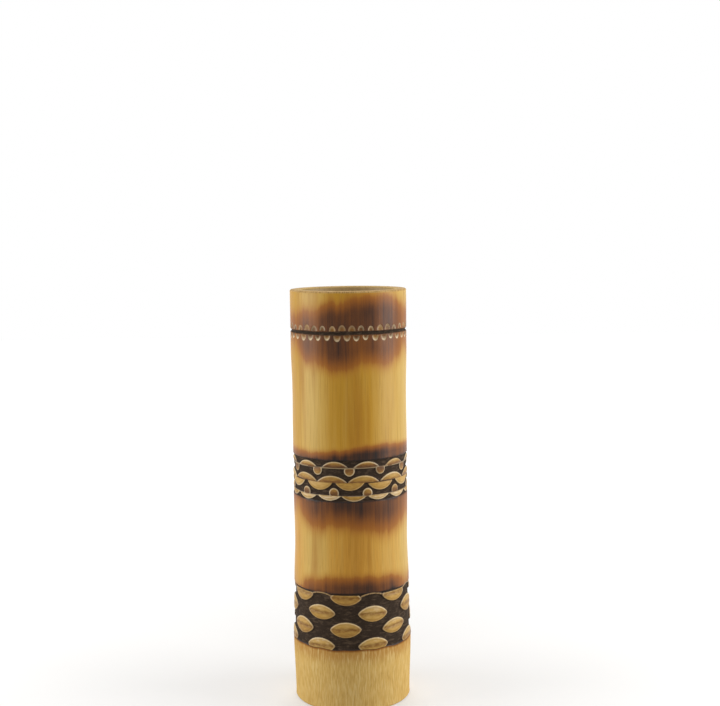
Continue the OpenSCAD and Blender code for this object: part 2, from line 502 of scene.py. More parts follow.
@dataclass(frozen=True)
class ChainBand:
    """The middle band, a chain of interlocking arcs between a crown above and a hem below.

    Attributes:
        middle: Height of its middle, over which the heights that end in _up are.
        count: Motifs in each row but the hem's arcs.
        lines_up: Heights of the two thin lines round the wall.
        waver: How far the band's edges waver.
        vary: How far the paleness of the motifs' edges differs.
    """

    middle: float = 166.9
    height: float = 29.4
    count: int = 11
    hem_count: int = 14
    crown_up: float = 9.7
    chain_up: float = -0.9
    hem_up: float = -10.6
    lines_up: tuple[float, float] = (9.2, -10.6)
    line_w: float = 0.55
    line_tone: float = 0.4
    line_pale: float = 0.45
    waver: float = 0.3
    vary: float = 0.2
    relief: Relief = Relief(1.1, worn=0.35, worn_w=1.7)
    radius: float = 41.6

    @property
    def ends(self) -> tuple[float, float]:
        """Heights of the band's lower and upper edge."""
        return self.middle - self.height / 2, self.middle + self.height / 2

    def rows(self) -> list[tuple[Row, Crescent]]:
        """Places the band's rows of motifs.

        Returns:
            Each row and its motif, from the crown down to the hem.
        """
        half = 180 / self.count
        crown, chain, hem = (
            self.middle + up for up in (self.crown_up, self.chain_up, self.hem_up))
        return [
            (Row(crown, self.count, half + 1, 0.3, 1), Crescent(18.9, 3.8, 1, 0.38, 0.75)),
            (Row(crown - 0.6, self.count, -1, 0.3, 2), Crescent(6.9, 5.2, -1, 0.28, 0.45)),
            (Row(chain, self.count, half - 2, 0.25, 3), Crescent(23.4, 4.9, 1, 0.5, 0.55)),
            (Row(chain - 0.5, self.count, 0, 0.25, 4), Crescent(21, 5.4, -1, 0.62, 0.05, 0.25)),
            (Row(hem + 0.5, self.count, half + 1, 0.3, 5), Crescent(6.6, 4.9, 1, 0.3, 0.55)),
            (Row(hem, self.hem_count, 4, 0.2, 6), Crescent(17.8, 3.5, -1, 0.72, -0.1, vary=0.28)),
        ]

    def cut(self, turn: np.ndarray, z: np.ndarray) -> Cut:
        """Works out the band's carving.

        Args:
            turn: Turns in degrees.
            z: Heights.

        Returns:
            The cut at each point, with the ground outside every motif and inside the band's edges.
        """
        cut = Cut.blank(turn.shape)
        low = self.ends[0] + self.waver * ripple(turn, (3, 8, 13))
        high = self.ends[1] + self.waver * ripple(turn, (4, 7, 12))
        cut.ground = np.minimum(z - low, high - z)
        for k, (row, motif) in enumerate(self.rows()):
            u, v, number = row.local(turn, z, self.radius)
            tone = motif.tone + motif.vary * wander(number, k + 15)
            # Painted light and shade: slope draws each motif lighter toward its tip and darker at
            # its chord.
            tone = tone + motif.slope * (motif.up * v / motif.height - 0.5)
            pale = motif.pale + self.vary * wander(k, number)
            cut.cover(motif.outline(u, v), -motif.edge(u, v), tone, pale)
        for up in self.lines_up:
            # A line is so thin that all of it counts as edge.
            out = np.abs(z - (self.middle + up)) - self.line_w / 2
            cut.cover(out, 0.2, self.line_tone, self.line_pale)
        cut.sink = self.relief.sink(cut.ground, cut.boss)
        return cut


@dataclass(frozen=True)
class NeckRing:
    """The V groove round the neck, with gouge chips above and below it.

    Attributes:
        z: Height of the groove's middle.
        waver: How far the groove wavers.
        count: Chips on each side.
        sides: For the chips above and below, 1 or -1, the turn of the first, and how pale their
        edges are, the lower chips' much paler edges being a painted highlight.
        chip_gap: Skin left between the groove and the chips.
        vary: Shares by which the chips' size and paleness differ, and how far their tone does.
    """

    z: float = 271.0
    groove_w: float = 2.8
    groove_depth: float = 1.3
    waver: float = 0.25
    count: int = 38
    # Painted highlight: the lower chips' edges are drawn far paler than the upper ones'.
    sides: tuple[tuple[int, float, float], ...] = ((1, 3.5, 0.3), (-1, -1.5, 1.0))
    chip_gap: float = 0.2
    chip_w: float = 4.7
    chip_h: float = 3.7
    chip_depth: float = 0.6
    chip_tone: float = 0.16
    vary: tuple[float, float, float] = (0.1, 0.35, 0.14)
    radius: float = 42.0

    def cut(self, turn: np.ndarray, z: np.ndarray) -> Cut:
        """Works out the groove and the chips.

        Args:
            turn: Turns in degrees.
            z: Heights.

        Returns:
            The cut at each point. A chip is half an ellipse that stands on the groove's edge, and
            its floor falls towards the groove as depth * sqrt(1 - (u / a)^2 - (v / b)^2).
        """
        cut = Cut.blank(turn.shape)
        half = self.groove_w / 2
        cut.groove = half - np.abs(z - self.z - self.waver * ripple(turn, (3, 7)))
        cut.sink = self.groove_depth * np.clip(cut.groove / half, 0, 1)
        for side, lead, pale in self.sides:
            row = Row(self.z + side * (half + self.chip_gap), self.count, lead, 0.25, 20 + side)
            u, v, number = row.local(turn, z, self.radius)
            v = side * v
            size = 1 + self.vary[0] * wander(number, 31)
            round_in = 1 - (2 * u / (self.chip_w * size)) ** 2 - (v / (self.chip_h * size)) ** 2
            rim = round_in * self.chip_w / 4
            scoop = self.chip_depth * np.sqrt(np.clip(round_in, 0, 1))
            cut.sink = np.maximum(cut.sink, np.where(v > 0, scoop * ease(v / 0.6), 0))
            out = -np.minimum(rim, v)
            tip_glint = np.clip(v / self.chip_h, 0, 1) ** 2
            if side < 0:
                # Painted highlight: these lower chips get a pale glint at the tip, which narrows
                # along the edge.
                rim = rim * (1 - 0.65 * tip_glint)
                pale = pale * (0.2 + 0.8 * tip_glint)
            pale = pale * (1 + self.vary[1] * wander(number, 37))
            cut.cover(out, rim, self.chip_tone + self.vary[2] * wander(number, 33), pale)
        return cut


# Turns at which a scorch's reach and darkness are given. The last closes the ring, and takes the
# values of the first.
TURNS = (-180, -120, -70, -40, -10, 15, 40, 70, 120, 180)


@dataclass(frozen=True)
class Scorch:
    """Where the torch browned the skin on one side of a line of carving.

    Attributes:
        z: Height of the line.
        up: 1 if the scorch lies above the line, or -1 if below.
        fade: Width over which it fades out.
        reach: How far from the line it is half faded, at each of TURNS but the last.
        dark: How dark it is at the line, from 0 to 1, at each of them.
        singe: Width of the blackened strip along the line.
        ragged: Shares by which the reach and the strip's width waver.
        blacker: How much darker the strip is than the rest.
    """

    z: float
    up: int
    fade: float
    reach: tuple[float, ...]
    dark: tuple[float, ...]
    singe: float = 3.4
    ragged: tuple[float, float] = (0.05, 0.35)
    blacker: float = 1.3

    @staticmethod
    def around(turn: np.ndarray, values: tuple[float, ...]) -> np.ndarray:
        """Eases from each of the values round the girth to the next.

        Args:
            turn: Turns in degrees.
            values: One value for each of TURNS but the last.

        Returns:
            a + (b - a) * ease(t), with t from 0 to 1 between the turns of a and b.
        """
        place = np.interp(np.mod(turn + 180, 360) - 180, TURNS, np.arange(len(TURNS)))
        first = np.minimum(np.floor(place).astype(int), len(TURNS) - 2)
        ring = np.array([*values, values[0]])
        return ring[first] + (ring[first + 1] - ring[first]) * ease(place - first)

    def level(self, turn: np.ndarray, z: np.ndarray) -> np.ndarray:
        """How far the skin is browned at each point.

        Args:
            turn: Turns in degrees.
            z: Heights.

        Returns:
            The larger of dark * (1 - ease(1 / 2 + (away - reach) / fade)) and of the strip,
            blacker * dark * (1 - ease(away / singe)), on the scorch's own side of the line.
        """
        reach = self.around(turn, self.reach) * (1 + self.ragged[0] * ripple(turn, (13, 22, 31)))
        dark = self.around(turn, self.dark)
        away = self.up * (z - self.z)
        browned = dark * (1 - ease(0.5 + (away - reach) / self.fade))
        singe = self.singe * (1 + self.ragged[1] * ripple(turn, (9, 17, 26)))
        black = np.clip(self.blacker * dark, 0, 1) * (1 - ease(away / singe))
        return np.where(away >= 0, np.maximum(browned, black), 0)


# The culm


class Finish(IntEnum):
    """The culm's material slots."""

    SKIN = 0
    END_GRAIN = 1
    BORE = 2


@dataclass
class Culm:
    """The carved bamboo wall, one closed surface from the foot to the rim and back down the bore.

    Attributes:
        fine: Points round the girth in the carved bands.
        coarse: Points round the girth elsewhere, a whole part of fine.
        cell: Spacing of the rows in the carved bands.
        near: Spacing beside them.
        wide: Spacing in the internodes.
        wall: Thickness at the rim, and so on down the sizes of the solid.
        uneven: How far the wall's outline strays from round.
        scraped: Depth to which the foot is scraped.
        scraped_below: How far under the lower band's edge the scraping starts.
        scraped_w: Height over which the scraping gets that deep.
        inside: How brown the skin's own colour is inside the two wide bands.
        painted_side_light: How straw-pale the unbrowned skin is drawn, a painted light, at each
        of TURNS but the last.
    """

    node: str = "culm"
    body: str = "vase"
    fine: int = 480
    coarse: int = 120
    cell: float = 0.54
    near: float = 1.8
    wide: float = 5.0
    wall: float = 8.0
    rim_r: float = 42.0
    foot_r: float = 42.2
    low_r: float = 43.4
    low_top_z: float = 85.1
    low_top_r: float = 42.2
    lower_waist_r: float = 41.2
    middle_r: float = 41.6
    upper_waist_r: float = 41.4
    low_node_z: float = 66.0
    mid_node_z: float = 168.0
    rim_round: float = 1.2
    foot_round: float = 2.0
    stub_in: float = 1.6
    stub_h: float = 9.0
    bore_step: float = 12.0
    seat_step: float = 2.0
    seat_z: float = 10.0
    uneven: float = 0.12
    scraped: float = 0.2
    scraped_below: float = 0.35
    scraped_w: float = 0.8
    inside: float = 0.97
    # Painted light: these draw the skin straw-pale at the sides that the lamps light, and leave it
    # honey at the front.
    painted_side_light: tuple[float, ...] = (0.3, 0.6, 0.1, 1.0, 0.0, 0.0, 0.45, 1.0, 0.6)
    leaves: LeafBand = LeafBand()
    chain: ChainBand = ChainBand()
    ring: NeckRing = NeckRing()

    @property
    def height(self) -> float:
        """Height of the vase, from the frame."""
        return float(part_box(self.node)[1][2]) / MM

    @property
    def bore_r(self) -> float:
        """Radius of the bore."""
        return self.rim_r - self.wall

    def places(self) -> list[tuple[float, float, bool]]:
        """Lists the places at which the skin's radius is given.

        Returns:
            Height and radius of each, and whether the skin is straight from there to the next.
        """
        low, high = self.chain.ends
        return [
            (0.0, self.foot_r, False),
            (self.leaves.z, self.low_r, True),
            (self.low_top_z, self.low_top_r, False),
            ((self.low_top_z + low) / 2, self.lower_waist_r, False),
            (low, self.middle_r, True),
            (high, self.middle_r, False),
            ((high + self.ring.z) / 2, self.upper_waist_r, False),
            (self.ring.z - 10.9, self.rim_r, True),
            (self.height, self.rim_r, True),
        ]

    def scorches(self) -> list[Scorch]:
        """Lists where the torch went, which reaches furthest at the front and the back.

        Returns:
            The scorches, from the neck down.
        """
        low, high = self.chain.ends
        return [
            Scorch(self.ring.z, 1, 20, (17, 19, 14, 16, 21, 24, 25, 18, 18),
                   (0.8, 0.75, 0.55, 0.73, 0.9, 0.85, 0.78, 0.5, 0.7), 0.5),
            Scorch(self.ring.z, -1, 24, (24, 18, 10, 20, 26, 21, 22, 16, 20),
                   (0.85, 0.7, 0.45, 0.74, 0.88, 0.76, 0.75, 0.45, 0.7), 0.5),
            Scorch(high, 1, 9.5, (9, 5.5, 5.5, 4.6, 5.8, 9, 9.5, 8, 7),
                   (0.9, 0.78, 0.64, 0.84, 0.92, 0.95, 0.88, 0.72, 0.8)),
            Scorch(low, -1, 30, (18, 15, 10, 17, 16, 18, 22, 16, 14),
                   (0.9, 0.8, 0.52, 0.8, 0.93, 0.9, 0.86, 0.62, 0.75)),
            Scorch(self.leaves.top, 1, 15, (11, 8, 4, 8.5, 11.5, 11, 9.5, 8, 8),
                   (0.88, 0.6, 0.25, 0.66, 0.9, 0.88, 0.8, 0.4, 0.7)),
        ]

    def skin_r(self, z: np.ndarray) -> np.ndarray:
        """Radius of the uncut skin, a sum of steps that are straight or half a wave each.

        Args:
            z: Heights.

        Returns:
            r0 + sum of (r[i + 1] - r[i]) * w(t), with t from 0 to 1 between the two places.
        """
        places = self.places()
        radius = np.full(np.shape(z), places[0][1])
        for (z0, r0, straight), (z1, r1, _) in pairwise(places):
            t = np.clip((z - z0) / (z1 - z0), 0, 1)
            radius = radius + (r1 - r0) * (t if straight else ease(t))
        return radius

    def cut(self, turn: np.ndarray, z: np.ndarray) -> Cut:
        """All the carving at each point, from the three bands that never meet."""
        return self.leaves.cut(turn, z).over(self.chain.cut(turn, z)).over(self.ring.cut(turn, z))

    def below_band(self, turn: np.ndarray, z: np.ndarray) -> np.ndarray:
        """Distance below the edge at which the foot is scraped bare."""
        return self.leaves.foot_edge(turn) - self.scraped_below - z

    def browned(self, turn: np.ndarray, z: np.ndarray) -> np.ndarray:
        """How far the torch browned the skin, from 0 to 1, the most that any scorch gives it.

        Args:
            turn: Turns in degrees.
            z: Heights.

        Returns:
            The largest of the scorches' levels, and of the wide bands' own level inside them.
        """
        low, high = self.chain.ends
        inside = ((z > low) & (z < high)) | ((z > self.leaves.z - 1) & (z < self.leaves.top))
        levels = [scorch.level(turn, z) for scorch in self.scorches()]
        return np.maximum(np.max(levels, axis=0), np.where(inside, self.inside, 0))

    def _stops(self) -> list[tuple[float, float]]:
        """Parts the outer wall by how close its rows are.

        Returns:
            Heights up the wall, each with the spacing of the rows up to it.
        """
        ring, leaves, cell, near, wide = self.ring, self.leaves, self.cell, self.near, self.wide
        low, high = self.chain.ends
        return [
            (self.foot_round, 0), (leaves.z - 5, 3.5), (leaves.z - 1.4, 0.7),
            (leaves.top + 0.8, cell), (leaves.top + 22, near), (low - 36, wide), (low - 0.8, near),
            (high + 0.8, cell), (high + 16, near), (ring.z - 42, wide), (ring.z - 6.2, near),
            (ring.z + 6.2, cell), (self.height - self.rim_round, near),
        ]

    def _outer_rows(self) -> tuple[np.ndarray, np.ndarray]:
        """Spaces the rows up the outer wall.

        Returns:
            The height of each row, and whether it is a fine one.
        """
        heights, fine = [self.foot_round], [False]
        for (z0, _), (z1, step) in pairwise(self._stops()):
            n = max(1, round((z1 - z0) / step))
            heights += list(z0 + (z1 - z0) * np.arange(1, n + 1) / n)
            is_fine = step == self.cell
            fine[-1] = fine[-1] or is_fine
            fine += [is_fine] * n
        return np.array(heights), np.array(fine)

    def _inner_section(self) -> list[tuple[float, float, int]]:
        """The rest of the section, from the rim down the bore and across the foot.

        Returns:
            Radius, height and slot of each row. The stubs are (1 - cos) / 2 bumps on the bore.
        """
        a, b, h, bore_r = self.rim_round, self.foot_round, self.height, self.bore_r
        rim = self._corner(self.rim_r - a, h - a, a, range(1, 6))
        rim += [(bore_r + self.wall * share, h) for share in (0.7, 0.5, 0.35)]
        rim += self._corner(bore_r + a, h - a, a, range(5, 11))
        bore, below = [], h - a
        for centre in (self.ring.z, self.mid_node_z, self.low_node_z):
            top = centre + self.stub_h / 2
            n = max(1, round((below - top) / self.bore_step))
            bore += [(bore_r, below + (top - below) * k / n) for k in range(1, n + 1)]
            for k in range(1, 9):
                bump = self.stub_in * (1 - math.cos(math.radians(45 * k))) / 2
                bore.append((bore_r - bump, top - k * self.stub_h / 8))
            below = top - self.stub_h
        bore += [(bore_r, below + (self.seat_z - below) * k / 4) for k in range(1, 5)]
        seat_r = bore_r + self.seat_step
        flat = self.foot_r - b - seat_r
        corner = self._corner(self.foot_r - b, b, b, range(-5, 0))
        sawn = [(seat_r + flat / 3, 0.0), (seat_r + flat * 2 / 3, 0.0), corner[0]]
        shoulder, side = [(seat_r, self.seat_z)], [(seat_r, self.seat_z / 2), (seat_r, 0.0)]
        parts = (
            (Finish.END_GRAIN, rim), (Finish.BORE, bore), (Finish.END_GRAIN, shoulder),
            (Finish.BORE, side), (Finish.END_GRAIN, sawn), (Finish.SKIN, corner[1:]),
        )
        return [(r, z, slot) for slot, points in parts for r, z in points]

    @staticmethod
    def _corner(r: float, z: float, size: float, steps: range) -> list[tuple[float, float]]:
        """Points of a rounded edge, (r + size cos t, z + size sin t) with t = 18 degrees a step."""
        turns = [math.radians(18 * k) for k in steps]
        return [(r + size * math.cos(t), z + size * math.sin(t)) for t in turns]

    def _snap(self, turn: np.ndarray, z: np.ndarray) -> tuple[np.ndarray, np.ndarray]:
        """Slides grid points on to the outlines that pass close by, so that edges are drawn clean.

        Args:
            turn: Turns of a fine grid.
            z: Its heights.

        Returns:
            Turns and heights moved twice by a share of -d g / |g|^2, where d is the distance to the
            top or the foot of a flank and g its slope, for points nearer than half a cell.
        """
        degree = 180 / math.pi / self.chain.radius
        reach, share, e = 0.4 * self.cell, 0.6, 0.05

        def distance(t: np.ndarray, h: np.ndarray) -> np.ndarray:
            """Measures how far points are from a flank.

            Args:
                t: Turns.
                h: Heights.

            Returns:
                Distance to the nearer of the flank's top edge and its foot.
            """
            ground = self.cut(t, h).ground
            d = np.where(np.abs(ground) < 8, ground, 8)
            foot = d - self.chain.relief.flank
            return np.where(np.abs(d) < np.abs(foot), d, foot)

        for _ in range(2):
            d = distance(turn, z)
            gu = (distance(turn + e * degree, z) - distance(turn - e * degree, z)) / (2 * e)
            gv = (distance(turn, z + e) - distance(turn, z - e)) / (2 * e)
            size = np.maximum(gu * gu + gv * gv, 0.25)
            near = np.abs(d) < 0.5 * self.cell
            du, dv = (np.clip(np.where(near, -d * g / size, 0), -reach, reach) for g in (gu, gv))
            du[0], du[-1], dv[0], dv[-1] = 0, 0, 0, 0
            turn, z = turn + share * du * degree, z + share * dv
        return turn, z

    def _rows(self) -> list[tuple[np.ndarray, np.ndarray, np.ndarray, int]]:
        """Works out the surface, with radius = skin_r - sink - uneven - scraped on the outer wall.

        Returns:
            Turns, radii, heights and slot of each row, up the outer wall and on round the section.
        """
        heights, fine = self._outer_rows()
        edges = np.flatnonzero(np.diff(fine.astype(int))) + 1
        rows: list[tuple[np.ndarray, np.ndarray, np.ndarray, int]] = []
        for part, is_fine in zip(np.split(heights, edges), [fine[i] for i in (0, *edges)]):
            n = self.fine if is_fine else self.coarse
            turn = np.broadcast_to(np.arange(n) * 360 / n, (len(part), n)).copy()
            z = np.broadcast_to(part[:, None], turn.shape).copy()
            if is_fine:
                turn, z = self._snap(turn, z)
            uneven = np.abs(self.uneven * ripple(turn, (2, 3, 5), z))
            scraped = self.scraped * ease(self.below_band(turn, z) / self.scraped_w)
            radius = self.skin_r(z) - self.cut(turn, z).sink - uneven - scraped
            rows += [(turn[i], radius[i], z[i], Finish.SKIN) for i in range(len(part))]
        for r, z, slot in self._inner_section():
            turn = np.arange(self.coarse) * 360 / self.coarse
            rows.append((turn, np.full(self.coarse, r), np.full(self.coarse, z), slot))
        return rows

    @staticmethod
    def _faces(counts: list[int], starts: np.ndarray, slots: list[int]) -> tuple[list, list[int]]:
        """Joins each row to the next, and the last to the first.

        Args:
            counts: Points in each row.
            starts: Number of each row's first point.
            slots: Slot of each row, which the faces before it take.

        Returns:
            The faces, as arrays of one length each, and a slot for each array. Between rows of n
            and k n points a face has k edges on the longer row.
        """
        blocks, block_slots = [], []
        for a in range(len(counts)):
            b = (a + 1) % len(counts)
            n = min(counts[a], counts[b])
            i = np.arange(n)
            lower = [(i * counts[a] // n + k) % counts[a] for k in range(counts[a] // n + 1)]
            upper = [(i * counts[b] // n + k) % counts[b] for k in range(counts[b] // n, -1, -1)]
            ring = [starts[a] + c for c in lower] + [starts[b] + c for c in upper]
            blocks.append(np.stack(ring, 1))
            block_slots.append(slots[b])
        return blocks, block_slots

    def _fields(self, turn: np.ndarray, radius: np.ndarray, z: np.ndarray) -> dict[str, np.ndarray]:
        """Works out what the finishes read.

        Args:
            turn: Turns of the surface's points.
            radius: Their radii.
            z: Their heights.

        Returns:
            A value at each point for each of FIELDS.
        """
        cut = self.cut(turn, z)
        outer = radius > self.bore_r + self.wall / 2
        return {name: np.clip(getattr(cut, name), -6, 6) for name in CUT_FIELDS} | {
            "scorch": np.where(outer, self.browned(turn, z), 0),
            "painted_side_light": Scorch.around(turn, self.painted_side_light),
            "scraped": np.clip(self.below_band(turn, z), -6, 40),
        }

    def build(self) -> bpy.types.Object:
        """Makes the mesh, with the carving's distances as attributes.

        Returns:
            The culm's object.
        """
        rows = self._rows()
        turn, radius, z = (np.concatenate([row[i] for row in rows]) for i in range(3))
        counts = [len(row[0]) for row in rows]
        starts = np.concatenate([[0], np.cumsum(counts)[:-1]])
        a = np.radians(turn)
        points = np.stack([radius * np.sin(a), -radius * np.cos(a), z], 1) * MM
        blocks, slots = self._faces(counts, starts, [row[3] for row in rows])
        faces = [face for block in blocks for face in block.tolist()]
        mesh = bpy.data.meshes.new("carved_culm")
        mesh.from_pydata(points.tolist(), [], faces)
        slot_of = np.repeat(slots, [len(block) for block in blocks])
        mesh.polygons.foreach_set("material_index", slot_of.astype(np.int32))
        mesh.polygons.foreach_set("use_smooth", np.ones(len(faces), dtype=bool))
        for name, values in self._fields(turn, radius, z).items():
            layer = mesh.attributes.new(name, "FLOAT", "POINT")
            layer.data.foreach_set("value", values.astype(np.float32))
        mesh.update()
        piece = put("carved_culm", mesh)
        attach(piece, self.body)
        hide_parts(self.node)
        triangles = sum(len(block) * (block.shape[1] - 2) for block in blocks)
        LOG.info("%s: %d points, %d triangles", piece.name, len(points), triangles)
        return piece

    def dress(self, piece: bpy.types.Object) -> None:
        """Gives the culm its finishes, in the order of the slots."""
        for finish in (CarvedSkin(), EndGrain(), BoreWall()):
            piece.data.materials.append(finish.material())


# Finishes


def lay_over(tree: Tree, base: object, *coats: tuple) -> Socket:
    """Lays colours over a base, one after another.

    Args:
        tree: The node tree.
        base: The first colour, a value or a socket.
        *coats: Share from 0 to 1 and colour of each coat, in order.

    Returns:
        The socket of the colour that results.
    """
    for share, colour in coats:
        base = add(tree, "Mix", {0: share, 6: base, 7: colour}, out=2, data_type="RGBA")
    return base


@dataclass(frozen=True)
class Shade:
    """A colour that shows where a noise is high.

    Attributes:
        noise: The noise's name.
        low: Its value at which the colour starts to show.
        high: Its value at which the colour shows most.
        most: Share of the colour there.
    """

    noise: str
    low: float
    high: float
    most: float
    colour: str


@dataclass(frozen=True)
class Surface:
    """What all finishes share, a material named for the real one, in Object coordinates."""

    name: str

    def material(self) -> bpy.types.Material:
        """Builds the material round the finish's own shader.

        Returns:
            The material.
        """
        made = bpy.data.materials.new(self.name)
        made.use_nodes = True
        tree = made.node_tree
        tree.nodes.clear()
        place = add(tree, "TexCoord", out="Object")
        add(tree, "OutputMaterial", {"Surface": self.shader(tree, place)})
        return made

    def shader(self, tree: Tree, place: Socket) -> Socket:
        """Adds the finish's nodes.

        Args:
            tree: The node tree.
            place: Object coordinates.

        Returns:
            The shader's socket.
        """
        raise NotImplementedError


@dataclass
class Patterns:
    """A tree, with its coordinates, its noises and the fields on the mesh by their names."""

    tree: Tree
    place: Socket
    noise: dict[str, Socket]
    field: dict[str, Socket]

    def shaded(self, base: object, shades: tuple[Shade, ...]) -> Socket:
        """Lays shades over a base, each where its noise is high.

        Args:
            base: The first colour, a value or a socket.
            shades: The shades, in order.

        Returns:
            The socket of the colour that results.
        """
        for shade in shades:
            share = add(self.tree, "MapRange", {
                0: self.noise[shade.noise], 1: shade.low, 2: shade.high, 4: shade.most})
            base = lay_over(self.tree, base, (share, linear(shade.colour)))
        return base


@dataclass(frozen=True)
class CarvedSkin(Surface):
    """Bamboo skin under clear varnish, with charred ground, cut wood and a scraped foot.

    The skin is gold with fine fibres along the culm and a soft gloss, and is drawn straw-pale at
    the sides as painted light. The torch turns it amber, then umber, then nearly black beside the
    carving. The sunk ground is charred to a dull brown black. The motifs show golden wood, which
    painted light and shade make lighter at the top of each leaf and the tip of each crescent and
    darker at the other end, with a band of painted shade inside paler edges that are part cut wood
    and part painted highlight. Below the lower band the skin is scraped off, which leaves dull
    khaki fibres.

    Attributes:
        torched: Colours of the browned skin, by how far it is burnt.
        wood: Colours of the motifs, by their tone, which carries their painted light and shade.
        upper_z: Heights in metres between which the honey skin turns gold.
        grains: Each noise's size across the culm in millimetres, how far it is squeezed along it,
            and its detail. The finest are drawn about twice as coarse as real fibres, so that they
            show in the render.
        edges: Each part, the field that it reads, and the distances in millimetres between which
            its share rises from 0 to 1.
        fringe_mm: Width over which a motif's pale edge fades.
        gouging: How much deeper the tool marks in the ground are than the grain.
    """

    name: str = "Torched bamboo, carved and varnished"
    honey: str = "#cf983b"
    gold: str = "#c08f2d"
    # The colour of the streaks, and of the painted light at the sides.
    straw: str = "#cfab5a"
    skin_shades: tuple[Shade, ...] = (
        Shade("drift", 0.5, 0.68, 0.5, "#a36818"), Shade("fibre", 0.5, 0.75, 0.45, "#996b1e"),
    )
    torched: tuple[tuple[float, str], ...] = (
        (0.0, "#ba852c"), (0.25, "#ab7028"), (0.5, "#965b20"), (0.7, "#7d4a1e"),
        (0.82, "#653b1c"), (0.92, "#472a18"), (1.0, "#201613"),
    )
    wood: tuple[tuple[float, str], ...] = (
        (0.0, "#5e3c1e"), (0.25, "#875e2f"), (0.55, "#b78d43"), (0.8, "#c9a35e"), (1.0, "#dac098"),
    )
    # Pale edge colour, partly fresh cut wood and partly a painted highlight.
    cut_edge_and_highlight: str = "#ecd8b0"
    # Brown of the crease, and of the painted shade inside a motif's edge.
    crease_and_shade_brown: str = "#724819"
    char: str = "#20170f"
    char_shades: tuple[Shade, ...] = (
        Shade("grit", 0.0, 1.0, 1.0, "#44372c"), Shade("gouge", 0.5, 0.72, 0.55, "#685645"),
    )
    khaki: str = "#d3ad63"
    umber: str = "#b07a38"
    foot_shades: tuple[Shade, ...] = (
        Shade("dash", 0.5, 0.7, 0.6, "#e0c382"), Shade("dash", 0.5, 0.32, 0.55, "#b58b48"),
        Shade("stroke", 0.56, 0.68, 0.7, "#e0c382"),
    )
    rust: str = "#85501f"
    upper_z: tuple[float, float] = (0.13, 0.2)
    grains: tuple[tuple[str, float, float, float], ...] = (
        ("fibre", 0.7, 0.02, 3.0), ("streak", 3.2, 0.04, 3.0), ("drift", 11.0, 0.06, 2.0),
        ("mottle", 18.0, 0.4, 2.0), ("grit", 1.2, 1.0, 3.0), ("fleck", 3.4, 2.6, 1.6),
        ("dash", 0.8, 0.1, 2.0), ("stroke", 1.3, 0.12, 1.0), ("gouge", 5.0, 3.4, 2.0),
    )
    grain_roughness: float = 0.6
    edges: tuple[tuple[str, str, float, float], ...] = (
        ("bare", "scraped", -0.3, 0.4), ("motif", "boss", -0.2, 0.2),
        ("charred", "ground", 0.0, 0.45), ("grooved", "groove", -0.4, 0.5),
    )
    fringe_mm: float = 0.75
    gouging: float = 2.5
    glossy: float = 0.45
    dull: float = 0.8
    varnish: float = 0.18
    specular: float = 0.1

    def shader(self, tree: Tree, place: Socket) -> Socket:
        """Lays the foot, the motifs and the char over the skin.

        Args:
            tree: The node tree.
            place: Object coordinates.

        Returns:
            The shader's socket.
        """
        noise = {}
        for name, size, squeeze, detail in self.grains:
            mm = add(tree, "Mapping", {"Vector": place, "Scale": (1000, 1000, 1000 * squeeze)})
            noise[name] = add(tree, "TexNoise", {
                "Vector": mm, "Scale": 1 / size, "Detail": detail,
                "Roughness": self.grain_roughness})
        field = {name: add(tree, "Attribute", out="Fac", attribute_name=name) for name in FIELDS}
        share = {name: add(tree, "MapRange", {0: field[read], 1: low, 2: high})
                 for name, read, low, high in self.edges}
        sunk = add(tree, "Math", {0: share["charred"], 1: share["grooved"]}, operation="MAXIMUM")
        at = Patterns(tree, place, noise, field)
        colour = lay_over(tree, self._skin(at), (share["bare"], self._foot(at)),
                          (share["motif"], self._motif(at)),
                          (sunk, at.shaded(linear(self.char), self.char_shades)))

        unvarnished = add(tree, "Math", {0: sunk, 1: share["bare"]}, operation="MAXIMUM")
        rough = add(tree, "MapRange", {0: unvarnished, 3: self.glossy, 4: self.dull})
        coat = add(tree, "MapRange", {0: unvarnished, 3: self.varnish, 4: 0.0})
        height = add(tree, "Math", {0: noise["fibre"], 1: noise["grit"]}, operation="ADD")
        marks = add(tree, "Math", {0: sunk, 1: self.gouging}, operation="MULTIPLY")
        height = add(tree, "Math", {0: noise["gouge"], 1: marks, 2: height},
                     operation="MULTIPLY_ADD")
        bump = add(tree, "Bump", {"Height": height, "Strength": 0.3, "Distance": 0.2 * MM})
        return add(tree, "BsdfPrincipled", {
            "Base Color": colour, "Roughness": rough, "Normal": bump,
            "Specular IOR Level": self.specular, "Coat Weight": coat, "Coat Roughness": 0.3})

    def _skin(self, at: Patterns) -> Socket:
        """Colours the varnished skin, honey below and gold above with painted light at the sides,
        and browns it by the torch.

        Args:
            at: The tree and its patterns.

        Returns:
            The colour's socket. A scorch of s browns it as s + s * uneven * (1.15 - s) does, so
            that the torch bites unevenly, but hardly where s is near 0 or 1.
        """
        tree, noise, scorch = at.tree, at.noise, at.field["scorch"]
        z = add(tree, "SeparateXYZ", {"Vector": at.place}, out="Z")
        upper = add(tree, "MapRange", {0: z, 1: self.upper_z[0], 2: self.upper_z[1]})
